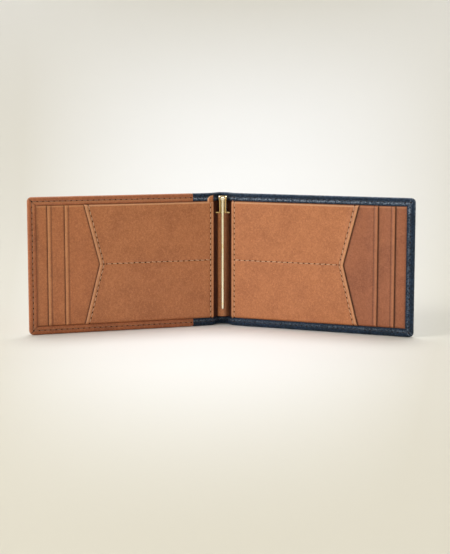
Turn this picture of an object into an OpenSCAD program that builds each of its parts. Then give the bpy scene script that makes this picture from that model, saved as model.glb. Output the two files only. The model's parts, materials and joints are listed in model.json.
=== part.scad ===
// Two-panel leather wallet with a sprung brass note clip in its spine, standing open.
// Millimetres, +Z up. The origin is at the bottom of the spine leather, in the middle of its back wall,
// so the wallet stands on z = 0 and its inside faces -Y.
//
// A panel is laid out in its own flat frame: s runs from the fold line out to the fore edge,
// d is the depth from the middle of the cover leather towards the inside, and z is the height.

/* [Wallet] */
// Height of the wallet
wallet_h = 78; // [66:1:96]
// Width of one panel, from its fold line to its fore edge
panel_w = 109; // [98:1:132]
// Angle that each panel leans forward from lying flat, as it stands
open_lean = 20; // [5:1:45]
// Radius of the two fore-edge corners
corner_r = 2.6; // [1.2:0.1:4]
// Width of the navy strip on the left panel, from the fold line
navy_strip_w = 12.6; // [8:0.2:20]

/* [Leather] */
// Thickness of the cover leather
cover_t = 1; // [0.7:0.1:1.4]
// Thickness of the board inside each panel
stiffener_t = 0.4; // [0.2:0.1:0.8]
// Thickness of the lining leather
lining_t = 0.4; // [0.3:0.1:0.6]
// Thickness of one card slot's leather
slot_t = 0.45; // [0.3:0.05:0.7]
// Thickness of the folded pocket leather
pocket_t = 0.6; // [0.4:0.1:0.9]
// Thickness of the cover leather where it is pared and turned over the edge
turn_t = 0.8; // [0.5:0.1:1]
// Width of the turned border
turn_w = 4.7; // [3.6:0.1:6]
// Width of the wrapped edge, outside the lining and the board
rim_w = 0.8; // [0.5:0.1:1.2]

/* [Pockets] */
// Distance of the outer card slot's edge from the fore edge
slot_1_inset = 11.2; // [8:0.2:14]
// Distance of the inner card slot's edge from the fore edge
slot_2_inset = 21; // [17:0.2:26]
// Distance of the pocket edge from the fore edge, at its two ends
pocket_inset = 32; // [29:0.2:40]
// How far the pocket edge is cut back at mid height
pocket_notch = 8.9; // [4:0.1:16]

/* [Stitching] */
// Distance from one stitch to the next
stitch_pitch = 3.2; // [2.4:0.1:5]
// Length of the thread showing in one stitch
stitch_l = 2.3; // [1.4:0.1:2.3]
// Width of the thread
thread_w = 0.45; // [0.3:0.05:0.7]
// How far the thread stands above the leather
thread_h = 0.2; // [0.1:0.05:0.3]
// Distance of the border stitching from the outer edge
border_stitch_inset = 2.9; // [2:0.1:3.4]
// Distance of the pocket stitching from the pocket's edge
pocket_stitch_inset = 2.2; // [1.4:0.1:3]
// Distance of the spine-side stitching from the inner edge of the pockets
side_stitch_inset = 1.8; // [1.2:0.1:3]

/* [Spine] */
// Straight part of the spine leather, from a fold line to the round back
spine_leg = 0.6; // [0.3:0.1:2]
// Gap between two pieces of leather that fold against each other
fold_gap = 0.3; // [0.2:0.05:0.5]
// Free space on each side between the clip and the closed panels
clip_side_gap = 0.5; // [0.3:0.1:1.5]

/* [Clip] */
// Width of the swinging arm
arm_w = 1.6; // [1.2:0.1:2.4]
// Thickness of the swinging arm
arm_t = 1.2; // [0.8:0.1:1.6]
// How far the arm's front lies behind the fold lines
arm_set_back = 0.2; // [0:0.1:0.6]
// Gap between the arm and the leather tab behind it
arm_gap = 0.4; // [0.3:0.1:0.8]
// Height of the arm's tip above the bottom of the wallet
tip_rise = 9.2; // [6:0.2:20]
// Radius of the hinge pin
pin_r = 0.6; // [0.5:0.05:0.8]
// Wall of the arm's eye around the pin
eye_wall = 0.5; // [0.4:0.05:0.7]
// Radial running clearance of the eye on the pin
pin_clear = 0.05; // [0.02:0.01:0.1]
// Gap between the arm and each cheek of the bracket
cheek_gap = 0.3; // [0.2:0.05:0.5]
// Thickness of one cheek of the bracket
cheek_t = 1.4; // [0.8:0.1:1.8]
// Height of the bracket
bracket_h = 10.1; // [8.5:0.1:13]
// Distance of the bracket's top below the wallet's top
bracket_drop = 2; // [1:0.1:5]
// Thickness of the bracket's back web
web_t = 0.8; // [0.5:0.1:1]
// Height of the bracket's two shoulders, on the leather tab
shoulder_h = 1.2; // [0.8:0.1:2]
// How far each shoulder stands out past the tab
shoulder_lip = 0.3; // [0.1:0.1:0.4]
// Thickness of the leaf spring
spring_t = 0.2; // [0.15:0.05:0.3]
// Thickness of the steel base plate inside the leather tab
plate_t = 0.8; // [0.5:0.1:1]
// Radius of a rivet's shank
rivet_r = 0.5; // [0.4:0.05:0.6]
// Leather in front of the base plate
tab_wall = 1; // [0.7:0.1:1.4]
// Gap between each edge of the tab and the spine's lining
tab_side_gap = 1; // [0.6:0.1:1.6]
// Radius of the tab's rounded front
tab_front_r = 9; // [7:0.5:20]

/* [Hidden] */
$fn = 96;
// How far a cut runs past the solid that it cuts.
cut_past = 1;

// Depths of the layers of a panel, from the middle of its cover leather towards the inside.
cover_out = -cover_t / 2;
cover_in = cover_t / 2;
stiffener_in = cover_in + stiffener_t;
lining_in = stiffener_in + lining_t;
border_in = lining_in + turn_t;
slot_1_in = lining_in + slot_t;
slot_2_in = slot_1_in + slot_t;
pocket_in = slot_2_in + pocket_t;

// Places across a panel, from the fold line.
cover_start = cover_t / 2 + fold_gap;
inner_start = fold_gap;
stiffener_start = 2 * cover_start;
slot_1_edge = panel_w - slot_1_inset;
slot_2_edge = panel_w - slot_2_inset;
pocket_edge = panel_w - pocket_inset;
pocket_point = pocket_edge - pocket_notch;
side_stitch_s = inner_start + side_stitch_inset;
smallest_r = 0.4;

// Heights.
mid_z = wallet_h / 2;
inside_low = turn_w;
inside_high = wallet_h - turn_w;
low_stitch_z = border_stitch_inset;
high_stitch_z = wallet_h - border_stitch_inset;

// The pocket's edge slants, so a line beside it moves further along s than it is from the edge.
slant = atan2(pocket_notch, mid_z - inside_low);
pocket_stitch_shift = pocket_stitch_inset / cos(slant);

// Clip, across the wallet.
clip_half_w = arm_w / 2 + cheek_gap + cheek_t;
cheek_in = arm_w / 2 + cheek_gap;

// Spine leather: a round back between two short straight legs.
fold_x = pocket_in + clip_side_gap + clip_half_w;
spine_out_r = fold_x + cover_t / 2;
spine_in_r = fold_x - cover_t / 2;
spine_lining_r = spine_in_r - lining_t;
spine_band_r = spine_lining_r - turn_t;
fold_y = -(spine_leg + fold_x);
spine_inner_start = 0.1;

// Clip, from the fold lines backwards.
eye_r = pin_r + eye_wall;
eye_drop = 0.7;
spring_gap = 0.1;
tab_front = arm_set_back + arm_t + arm_gap;
plate_fit = 0.05;
plate_front = tab_front + tab_wall + plate_fit;
plate_back = plate_front + plate_t;
web_front = plate_front - web_t;
pivot_y = web_front - spring_t - spring_gap - eye_r;
cheek_front = pivot_y - eye_r;
cheek_taper = 1.2;
tab_half_w = spine_lining_r - tab_side_gap;
plate_half_w = tab_half_w - tab_wall - plate_fit;
neck_inset = 0.2;
neck_half_w = clip_half_w - neck_inset;

// Clip, heights.
bracket_top = wallet_h - bracket_drop;
bracket_low = bracket_top - bracket_h;
pivot_z = bracket_top - eye_r - eye_drop;
tab_low = turn_w;
sleeve_floor = 2;
plate_low = tab_low + sleeve_floor;
neck_top = inside_high - fold_gap;
rivet_lip = 0.35;
rivet_head_r = rivet_r + rivet_lip;
rivet_head_t = 0.2;
rivet_gap = 0.2;
rivet_1_z = bracket_low + shoulder_h + rivet_head_r + rivet_gap;
rivet_2_z = rivet_1_z + 2 * (rivet_head_r + rivet_gap);
spring_inset = 0.2;
spring_half_w = cheek_in - spring_inset;
spring_low = rivet_2_z - rivet_head_r;
spring_high = bracket_top - 2 * spring_inset;

navy = [0.16, 0.21, 0.28];
tan = [0.66, 0.41, 0.26];
dark_tan = [0.56, 0.33, 0.2];
board = [0.72, 0.68, 0.6];
thread_grey = [0.62, 0.55, 0.47];
brass = [0.85, 0.76, 0.52];
steel = [0.7, 0.7, 0.72];

// ---------------------------------------------------------------- placing

// The spine and the clip are drawn with y = 0 on the line between the two folds.
module from_folds() translate([0, fold_y, 0]) children();

// A panel's own flat frame, set at its fold line and leaned forward.
module on_right() translate([fold_x, fold_y, 0]) rotate([0, 0, -open_lean]) children();

module on_left() mirror([1, 0, 0]) on_right() children();

// Extrudes an outline drawn in (s, z) from depth low to depth high.
module layer(low, high)
    translate([0, -low, 0]) rotate([90, 0, 0]) linear_extrude(high - low) children();

// ---------------------------------------------------------------- outlines in (s, z)

module block(s_low, s_high, z_low, z_high)
    translate([s_low, z_low]) square([s_high - s_low, z_high - z_low]);

// A panel's outline between two places, with round corners where it ends at the fore edge.
module panel_outline(s_low, s_high, margin) {
    edge = s_high - margin;
    low = margin;
    high = wallet_h - margin;
    at_fore_edge = s_high == panel_w;
    r = max(corner_r - margin, smallest_r);
    if (at_fore_edge) {
        block(s_low, edge - r, low, high);
        block(s_low, edge, low + r, high - r);
        for (z = [low + r, high - r])
            translate([edge - r, z]) circle(r);
    } else {
        block(s_low, s_high, low, high);
    }
}

module pocket_outline()
    polygon([
        [inner_start, inside_low],
        [pocket_edge, inside_low],
        [pocket_point, mid_z],
        [pocket_edge, inside_high],
        [inner_start, inside_high]
    ]);

// Evenly spaced stitches on a straight line, with a margin left at both ends.
module stitch_row(from, to) {
    run = to - from;
    length = norm(run);
    count = max(1, round((length - stitch_pitch) / stitch_pitch));
    step = length / (count + 1);
    for (i = [1 : count])
        translate(from + run * (i * step / length))
            rotate(atan2(run[1], run[0]))
                square([stitch_l, thread_w], center = true);
}

// ---------------------------------------------------------------- panel pieces, in the panel's frame

// Cover leather with its edge wrapped round and turned over onto the inside.
module turned_cover(s_low, s_high) {
    border_s = s_high == panel_w ? s_high - turn_w : s_high + cut_past;
    rim_s = s_high == panel_w ? s_high - rim_w : s_high + cut_past;
    layer(cover_out, cover_in) panel_outline(s_low, s_high, 0);
    layer(cover_in, lining_in) difference() {
        panel_outline(s_low, s_high, 0);
        block(s_low - cut_past, rim_s, rim_w, wallet_h - rim_w);
    }
    layer(lining_in, border_in) difference() {
        panel_outline(s_low, s_high, 0);
        block(s_low - cut_past, border_s, turn_w, wallet_h - turn_w);
    }
}

module stiffener()
    layer(cover_in, stiffener_in) block(stiffener_start, panel_w - rim_w, rim_w, wallet_h - rim_w);

module lining() {
    layer(cover_in, stiffener_in) block(inner_start + cover_start, stiffener_start, rim_w, wallet_h - rim_w);
    layer(stiffener_in, lining_in) block(inner_start, panel_w - rim_w, rim_w, wallet_h - rim_w);
}

module card_slot(low, high, edge)
    layer(low, high) block(inner_start, edge, inside_low, inside_high);

module chevron_pocket()
    layer(slot_2_in, pocket_in) pocket_outline();

module border_stitching(s_low) {
    fore_s = panel_w - border_stitch_inset;
    layer(border_in, border_in + thread_h) {
        stitch_row([s_low, low_stitch_z], [fore_s, low_stitch_z]);
        stitch_row([fore_s, low_stitch_z], [fore_s, high_stitch_z]);
        stitch_row([s_low, high_stitch_z], [fore_s, high_stitch_z]);
    }
}

// The border stitches on the navy strip.
module strip_stitching()
    layer(border_in, border_in + thread_h)
        for (z = [low_stitch_z, high_stitch_z])
            stitch_row([cover_start, z], [navy_strip_w, z]);

module pocket_stitching() {
    end_s = pocket_edge - pocket_stitch_shift;
    mid_s = pocket_point - pocket_stitch_shift;
    layer(pocket_in, pocket_in + thread_h) {
        stitch_row([end_s, inside_low], [mid_s, mid_z]);
        stitch_row([mid_s, mid_z], [end_s, inside_high]);
    }
}

module divider_stitching()
    layer(pocket_in, pocket_in + thread_h)
        stitch_row([side_stitch_s, mid_z], [pocket_point - pocket_stitch_shift, mid_z]);

module side_stitching()
    layer(pocket_in, pocket_in + thread_h) {
        stitch_row([side_stitch_s, inside_low], [side_stitch_s, mid_z]);
        stitch_row([side_stitch_s, mid_z], [side_stitch_s, inside_high]);
    }

// ---------------------------------------------------------------- spine pieces, from the fold lines

// The back half of a ring with its legs carried forward to y = start.
module channel_outline(r_in, r_out, start) {
    translate([0, spine_leg]) difference() {
        circle(r_out);
        circle(r_in);
        translate([-r_out - cut_past, -2 * r_out]) square([2 * (r_out + cut_past), 2 * r_out]);
    }
    for (x = [-r_out, r_in])
        translate([x, start]) square([r_out - r_in, spine_leg - start]);
}

// Spine leather, rounded at the fold lines, wrapped and turned at its top and bottom.
module spine_cover() color(navy) from_folds() {
    linear_extrude(wallet_h) {
        channel_outline(spine_in_r, spine_out_r, 0);
        for (side = [-1, 1])
            translate([side * fold_x, 0]) circle(cover_t / 2);
    }
    for (z = [0, wallet_h - rim_w])
        translate([0, 0, z])
            linear_extrude(rim_w) channel_outline(spine_lining_r, spine_in_r, spine_inner_start);
    for (z = [0, wallet_h - turn_w])
        translate([0, 0, z])
            linear_extrude(turn_w) channel_outline(spine_band_r, spine_lining_r, spine_inner_start);
}

module spine_lining() color(dark_tan) from_folds()
    translate([0, 0, rim_w])
        linear_extrude(wallet_h - 2 * rim_w)
            channel_outline(spine_lining_r, spine_in_r, spine_inner_start);

// Border stitches carried round the spine's two turned bands.
module spine_thread() color(thread_grey) from_folds() {
    turn_per_stitch = stitch_pitch / spine_band_r * 180 / PI;
    turn_per_thread = stitch_l / spine_band_r * 180 / PI;
    count = floor(180 / turn_per_stitch);
    first = (180 - (count - 1) * turn_per_stitch - turn_per_thread) / 2;
    for (z = [low_stitch_z, high_stitch_z])
        for (i = [0 : count - 1])
            translate([0, spine_leg, z - thread_w / 2])
                rotate([0, 0, first + i * turn_per_stitch])
                    rotate_extrude(angle = turn_per_thread)
                        translate([spine_band_r - thread_h, 0]) square([thread_h, thread_w]);
}

// ---------------------------------------------------------------- clip pieces, from the fold lines

// Leather sleeve with a rounded front, lying in the spine's hollow.
module clip_tab() color(tan) from_folds()
    translate([0, 0, tab_low])
        difference() {
            linear_extrude(bracket_low - tab_low) intersection() {
                translate([0, spine_leg]) circle(spine_lining_r);
                translate([0, tab_front + tab_front_r]) circle(tab_front_r);
                translate([-tab_half_w, 0]) square([2 * tab_half_w, 2 * fold_x]);
            }
            translate([-plate_half_w - plate_fit, plate_front - plate_fit, plate_low - tab_low])
                cube([2 * (plate_half_w + plate_fit), plate_t + 2 * plate_fit, wallet_h]);
        }

module rivet_bores(y_low, y_high)
    for (z = [rivet_1_z, rivet_2_z])
        translate([0, y_low - cut_past, z])
            rotate([-90, 0, 0]) cylinder(r = rivet_r, h = y_high - y_low + 2 * cut_past);

// Steel strip inside the sleeve, with a neck that stands up behind the bracket.
module clip_base_plate() color(steel) from_folds()
    difference() {
        union() {
            translate([-plate_half_w, plate_front, plate_low])
                cube([2 * plate_half_w, plate_t, bracket_low - plate_low]);
            translate([-neck_half_w, plate_front, bracket_low])
                cube([2 * neck_half_w, plate_t, neck_top - bracket_low]);
        }
        rivet_bores(plate_front, plate_back);
    }

// Side of the bracket, which tapers back below the hinge pin; drawn in (y, z).
module cheek_outline()
    polygon([
        [web_front, bracket_low],
        [cheek_front + cheek_taper, bracket_low],
        [cheek_front, pivot_z - 2 * eye_r],
        [cheek_front, bracket_top],
        [web_front, bracket_top]
    ]);

// Brass bracket: a back web with two shoulders on the tab, and two cheeks that hold the pin.
module clip_bracket() color(brass) from_folds()
    difference() {
        union() {
            translate([-clip_half_w, web_front, bracket_low])
                cube([2 * clip_half_w, web_t, bracket_h]);
            translate([-tab_half_w - shoulder_lip, web_front, bracket_low])
                cube([2 * (tab_half_w + shoulder_lip), web_t, shoulder_h]);
            for (x = [-clip_half_w, cheek_in])
                translate([x, 0, 0])
                    rotate([90, 0, 90]) linear_extrude(cheek_t) cheek_outline();
        }
        translate([-clip_half_w - cut_past, pivot_y, pivot_z])
            rotate([0, 90, 0]) cylinder(r = pin_r, h = 2 * (clip_half_w + cut_past));
        rivet_bores(web_front, plate_front);
    }

module clip_pin() color(steel) from_folds()
    translate([-clip_half_w, pivot_y, pivot_z])
        rotate([0, 90, 0]) cylinder(r = pin_r, h = 2 * clip_half_w);

// Leaf spring that bears on the arm's eye, held by the upper rivet.
module clip_spring() color(steel) from_folds()
    difference() {
        translate([-spring_half_w, web_front - spring_t, spring_low])
            cube([2 * spring_half_w, spring_t, spring_high - spring_low]);
        translate([0, 0, rivet_2_z])
            rotate([-90, 0, 0]) cylinder(r = rivet_r, h = web_front + cut_past);
    }

// A rivet through the web and the plate's neck; its front head lies at y = front.
module rivet(z, front)
    translate([0, 0, z]) rotate([-90, 0, 0]) {
        translate([0, 0, front]) cylinder(r = rivet_r, h = plate_back - front);
        translate([0, 0, front - rivet_head_t]) cylinder(r = rivet_head_r, h = rivet_head_t);
        translate([0, 0, plate_back]) cylinder(r = rivet_head_r, h = rivet_head_t);
    }

module clip_rivets() color(brass) from_folds() {
    rivet(rivet_1_z, web_front);
    rivet(rivet_2_z, web_front - spring_t);
}

// Swinging arm: an eye on the pin, a flat bar and a round tip.
module clip_arm() color(brass) from_folds()
    difference() {
        union() {
            translate([-arm_w / 2, pivot_y, pivot_z])
                rotate([0, 90, 0]) cylinder(r = eye_r, h = arm_w);
            translate([-arm_w / 2, arm_set_back, tip_rise + arm_w / 2])
                cube([arm_w, arm_t, pivot_z - tip_rise - arm_w / 2]);
            translate([0, arm_set_back, tip_rise + arm_w / 2])
                rotate([-90, 0, 0]) cylinder(r = arm_w / 2, h = arm_t);
        }
        translate([-arm_w, pivot_y, pivot_z])
            rotate([0, 90, 0]) cylinder(r = pin_r + pin_clear, h = 2 * arm_w);
    }

// ---------------------------------------------------------------- left panel

module left_cover() color(tan) on_left() turned_cover(navy_strip_w, panel_w);
module left_navy_strip() color(navy) on_left() turned_cover(cover_start, navy_strip_w);
module left_stiffener() color(board) on_left() stiffener();
module left_lining() color(dark_tan) on_left() lining();
module left_slot_1() color(dark_tan) on_left() card_slot(lining_in, slot_1_in, slot_1_edge);
module left_slot_2() color(dark_tan) on_left() card_slot(slot_1_in, slot_2_in, slot_2_edge);
module left_pocket() color(tan) on_left() chevron_pocket();
module left_border_thread() color(thread_grey) on_left() border_stitching(navy_strip_w);
module left_strip_thread() color(navy) on_left() strip_stitching();
module left_pocket_thread() color(thread_grey) on_left() pocket_stitching();
module left_divider_thread() color(thread_grey) on_left() divider_stitching();
module left_side_thread() color(thread_grey) on_left() side_stitching();

// ---------------------------------------------------------------- right panel

module right_cover() color(navy) on_right() turned_cover(cover_start, panel_w);
module right_stiffener() color(board) on_right() stiffener();
module right_lining() color(dark_tan) on_right() lining();
module right_slot_1() color(dark_tan) on_right() card_slot(lining_in, slot_1_in, slot_1_edge);
module right_slot_2() color(dark_tan) on_right() card_slot(slot_1_in, slot_2_in, slot_2_edge);
module right_pocket() color(tan) on_right() chevron_pocket();
module right_border_thread() color(navy) on_right() border_stitching(cover_start);
module right_pocket_thread() color(thread_grey) on_right() pocket_stitching();
module right_divider_thread() color(thread_grey) on_right() divider_stitching();
module right_side_thread() color(thread_grey) on_right() side_stitching();

left_cover();
left_navy_strip();
left_stiffener();
left_lining();
left_slot_1();
left_slot_2();
left_pocket();
left_border_thread();
left_strip_thread();
left_pocket_thread();
left_divider_thread();
left_side_thread();
right_cover();
right_stiffener();
right_lining();
right_slot_1();
right_slot_2();
right_pocket();
right_border_thread();
right_pocket_thread();
right_divider_thread();
right_side_thread();
spine_cover();
spine_lining();
spine_thread();
clip_tab();
clip_base_plate();
clip_bracket();
clip_pin();
clip_spring();
clip_rivets();
clip_arm();
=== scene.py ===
# Looks of a two-panel leather wallet with a sprung brass note clip in its spine, standing open.
#
# A panel has its own flat frame: s runs from its fold line out to the fore edge, d is the depth from the
# middle of the cover leather towards the inside, and z is the height. On the navy leather, q is the length
# along the leather from the middle of the spine, round the back and out over a panel.

import bisect
import json
import math

import bmesh
import bpy
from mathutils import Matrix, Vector, noise


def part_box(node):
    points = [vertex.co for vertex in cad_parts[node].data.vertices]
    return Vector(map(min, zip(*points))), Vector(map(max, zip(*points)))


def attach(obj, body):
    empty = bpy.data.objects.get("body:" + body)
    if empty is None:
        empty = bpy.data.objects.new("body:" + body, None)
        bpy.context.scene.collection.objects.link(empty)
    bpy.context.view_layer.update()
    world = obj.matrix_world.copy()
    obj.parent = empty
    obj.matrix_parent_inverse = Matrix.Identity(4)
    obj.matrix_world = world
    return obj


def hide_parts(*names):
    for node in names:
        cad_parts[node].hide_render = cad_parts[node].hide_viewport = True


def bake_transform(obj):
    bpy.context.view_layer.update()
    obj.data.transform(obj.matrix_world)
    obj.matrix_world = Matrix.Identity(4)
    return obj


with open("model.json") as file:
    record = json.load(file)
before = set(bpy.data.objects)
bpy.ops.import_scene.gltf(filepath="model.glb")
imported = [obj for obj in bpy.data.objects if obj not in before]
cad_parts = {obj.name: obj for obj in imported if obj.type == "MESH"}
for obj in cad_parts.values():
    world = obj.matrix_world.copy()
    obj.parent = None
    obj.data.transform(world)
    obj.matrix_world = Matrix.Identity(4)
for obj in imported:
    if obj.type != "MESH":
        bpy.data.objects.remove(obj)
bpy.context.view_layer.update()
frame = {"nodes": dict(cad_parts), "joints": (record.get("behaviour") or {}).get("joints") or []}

MM = 0.001
OPEN_LEAN = math.radians(20)


# ---------------- places taken from the frame

class Panel:
    """One panel's own flat frame, on the right (side 1) or on the left (side -1)."""

    def __init__(self, side, name):
        self.side = side
        self.name = name
        self.body = name + "_panel"
        fold = next(j for j in frame["joints"] if j["name"] == name + "_fold")
        self.fold_x = abs(fold["pos_m"][0])
        self.fold_y = fold["pos_m"][1]

    def place(self, s, d, z):
        """The point of the row frame at s, d and z."""
        x = self.fold_x + s * math.cos(OPEN_LEAN) - d * math.sin(OPEN_LEAN)
        y = self.fold_y - s * math.sin(OPEN_LEAN) - d * math.cos(OPEN_LEAN)
        return Vector((self.side * x, y, z))

    def extent(self, node):
        """Lowest and highest (s, d, z) of one of this panel's CAD nodes."""
        flat = []
        for vertex in frame["nodes"][self.name + "_" + node].data.vertices:
            out = self.side * vertex.co.x - self.fold_x
            forward = self.fold_y - vertex.co.y
            s = out * math.cos(OPEN_LEAN) + forward * math.sin(OPEN_LEAN)
            d = forward * math.cos(OPEN_LEAN) - out * math.sin(OPEN_LEAN)
            flat.append((s, d, vertex.co.z))
        low = [min(point[k] for point in flat) for k in range(3)]
        high = [max(point[k] for point in flat) for k in range(3)]
        return low, high


RIGHT = Panel(1, "right")
LEFT = Panel(-1, "left")

(_, COVER_OUT, _), (PANEL_W, BORDER_TOP, WALLET_H) = RIGHT.extent("cover")
(_, COVER_IN, RIM_W), (_, BOARD_TOP, _) = RIGHT.extent("stiffener")
(INNER_START, _, _), (LINING_EDGE, LINING_TOP, _) = RIGHT.extent("lining")
(_, _, TURN_W), (SLOT_1_EDGE, SLOT_1_TOP, _) = RIGHT.extent("slot_1")
(_, _, _), (SLOT_2_EDGE, SLOT_2_TOP, _) = RIGHT.extent("slot_2")
(_, _, _), (POCKET_EDGE, POCKET_TOP, _) = RIGHT.extent("pocket")
(_, _, _), (STRIP_END, _, _) = LEFT.extent("navy_strip")

MID_Z = WALLET_H / 2
FOLD_X = RIGHT.fold_x
FOLD_Y = RIGHT.fold_y
CORNER_R = 2.6 * MM
POCKET_NOTCH = 8.9 * MM
POCKET_SLANT = math.atan2(POCKET_NOTCH, MID_Z - TURN_W)
CREASE_INSET = 2.2 * MM
STITCH_INSET = 2.5 * MM
STITCH_PITCH = 3.2 * MM


def smooth(value):
    """0 below 0, 1 above 1, and a soft step between."""
    value = min(max(value, 0.0), 1.0)
    return value * value * (3 - 2 * value)


def spread(low, high, step):
    """Evenly spaced values from low to high, about step apart."""
    count = max(1, round((high - low) / step))
    return [low + (high - low) * i / count for i in range(count + 1)]


def graded(low, high):
    """Values from low to high, a fine step apart near both ends."""
    step, fine, end = 1.0 * MM, 0.4 * MM, 2.0 * MM
    middle = spread(low + end, high - end, step)
    return spread(low, low + end, fine)[:-1] + middle + spread(high - end, high, fine)[1:]


def clamp(value):
    """The value, kept between -1 and 1."""
    return max(-1.0, min(1.0, value))


def circle(count):
    """Cosine and sine of evenly spaced angles round a circle."""
    return [(math.cos(2 * math.pi * k / count), math.sin(2 * math.pi * k / count)) for k in range(count)]


def groove(distance, width):
    """1 on the middle of a groove and 0 beyond its half width."""
    return smooth(1 - abs(distance) / width)


def ripple(point, length, seed):
    """A slow, repeatable unevenness from about -1 to 1."""
    return noise.noise(Vector(point) / length + Vector((seed, 0, 0)))


# ---------------- the navy leather's way round the spine

class SpinePath:
    """The middle of the navy leather from the spine's centre, round its back and out over one panel."""

    REACH = 2.5 * MM        # how far over the panel the bend goes
    BACK_Y = -0.1 * MM      # the middle of the leather at the spine's back
    STRAIGHT = 0.9          # how far the back pulls straight, as a part of the way to the fold
    STEPS = 400

    def __init__(self, panel):
        self.panel = panel
        out = Vector((math.cos(OPEN_LEAN), -math.sin(OPEN_LEAN)))
        fold = Vector((FOLD_X, FOLD_Y))
        self.out = out
        self.end = fold + out * self.REACH
        self.hooks = [Vector((0, self.BACK_Y)), Vector((self.STRAIGHT * FOLD_X, self.BACK_Y)), fold, self.end]
        self.lengths = [0.0]
        before = self.curve(0)
        for i in range(1, self.STEPS + 1):
            here = self.curve(i / self.STEPS)
            self.lengths.append(self.lengths[-1] + (here - before).length)
            before = here
        self.length = self.lengths[-1]

    def curve(self, t):
        a, b, c, d = self.hooks
        return a * (1 - t) ** 3 + b * 3 * t * (1 - t) ** 2 + c * 3 * t * t * (1 - t) + d * t ** 3

    def slope(self, t):
        a, b, c, d = self.hooks
        return ((b - a) * (1 - t) ** 2 + (c - b) * 2 * t * (1 - t) + (d - c) * t * t).normalized()

    def q_at(self, s):
        """The length along the leather at s on the panel."""
        return self.length - self.REACH + s

    def place(self, q, d, z):
        """The point of the row frame at q, d and z."""
        if q >= self.length:
            spot = self.end + self.out * (q - self.length)
            along = self.out
        else:
            i = min(max(bisect.bisect_right(self.lengths, q) - 1, 0), self.STEPS - 1)
            part = (q - self.lengths[i]) / (self.lengths[i + 1] - self.lengths[i])
            t = (i + part) / self.STEPS
            spot = self.curve(t)
            along = self.slope(t)
        spot = spot + Vector((along.y, -along.x)) * d
        return Vector((self.panel.side * spot.x, spot.y, z))

    def y_behind(self, x, d):
        """The y of the leather's surface at depth d, straight behind x."""
        low, high = 0.0, self.length
        for _ in range(40):
            q = (low + high) / 2
            if abs(self.place(q, d, 0).x) < abs(x):
                low = q
            else:
                high = q
        return self.place(low, d, 0).y


RIGHT_PATH = SpinePath(RIGHT)
LEFT_PATH = SpinePath(LEFT)


# ---------------- mesh building

def linked(name, data):
    """A new object in the scene."""
    made = bpy.data.objects.new(name, data)
    bpy.context.scene.collection.objects.link(made)
    return made


class Shape:
    """A closed mesh made of patches, which weld where their points meet.

    Each point may say how much wear and painted highlight lighten it, and how much painted shade darkens it."""

    WELD = 1e-6

    def __init__(self):
        self.mesh = bmesh.new()
        self.wear_and_highlight = self.mesh.verts.layers.float.new("wear_and_highlight")
        self.painted_shade = self.mesh.verts.layers.float.new("painted_shade")

    def point(self, place, wear_and_highlight=0.0, painted_shade=0.0):
        vertex = self.mesh.verts.new(place)
        vertex[self.wear_and_highlight] = wear_and_highlight
        vertex[self.painted_shade] = painted_shade
        return vertex

    def face(self, corners, material=0):
        found = self.mesh.faces.new(corners)
        found.material_index = material
        found.smooth = True
        return found

    def patch(self, rows, material=0, around=False):
        """A sheet of quads over rows of points, which closes on itself if around is true."""
        rows = [[self.point(*spot) if isinstance(spot, tuple) else self.point(spot) for spot in row]
                for row in rows]
        for lower, upper in zip(rows, rows[1:]):
            count = len(lower)
            for i in range(count if around else count - 1):
                j = (i + 1) % count
                self.face([lower[i], lower[j], upper[j], upper[i]], material)
        return rows

    def wrap(self, tops, bottoms, sides=False):
        """Two sheets joined along their end rows and, if sides, along their end columns."""
        self.patch(tops)
        self.patch(bottoms)
        for end in (0, -1):
            self.patch([tops[end], bottoms[end]])
            if sides:
                self.patch([[row[end] for row in tops], [row[end] for row in bottoms]])

    def lid(self, spots):
        """One flat face over a ring of points."""
        self.face([self.point(spot) for spot in spots])

    def tube(self, rings, material=0):
        """A closed tube over rings of points, with a flat face on each end."""
        made = self.patch(rings, material, around=True)
        self.face(list(reversed(made[0])), material)
        self.face(made[-1], material)

    def finish(self, name, materials, sharp=50):
        """The finished object, welded, facing outwards and smooth up to the sharp angle."""
        bmesh.ops.remove_doubles(self.mesh, verts=self.mesh.verts, dist=self.WELD)
        bmesh.ops.dissolve_degenerate(self.mesh, edges=self.mesh.edges, dist=self.WELD)
        bmesh.ops.recalc_face_normals(self.mesh, faces=self.mesh.faces)
        data = bpy.data.meshes.new(name)
        self.mesh.to_mesh(data)
        self.mesh.free()
        for material in materials:
            data.materials.append(material)
        data.set_sharp_from_angle(angle=math.radians(sharp))
        return linked(name, data)


def bevel(piece, width, segments=3):
    """Rounds the piece's sharp edges."""
    round_edges = piece.modifiers.new("edges", "BEVEL")
    round_edges.width = width
    round_edges.segments = segments
    round_edges.limit_method = "ANGLE"
    round_edges.angle_limit = math.radians(35)


def on_body(piece, body, slot, *nodes):
    """The piece rides on a body and stands for these CAD nodes, if there are any."""
    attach(piece, body)
    if nodes:
        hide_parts(*nodes)


def on_panel(piece, panel, slot, *nodes):
    """The piece lies on a panel and stands for the panel's CAD nodes of these names."""
    on_body(piece, panel.body, slot, *[panel.name + "_" + node for node in nodes])


def round_spine(piece, path, slot, *nodes):
    """The piece runs from the spine round to a panel; its transform is applied and it stands for these CAD
    nodes.
    """
    before_end, past_end = 6 * MM, 1 * MM
    start = path.place(path.length - before_end, COVER_IN, MID_Z)
    end = path.place(path.length + past_end, COVER_IN, MID_Z)
    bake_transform(piece)
    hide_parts(*nodes)


# ---------------- finishes

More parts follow.
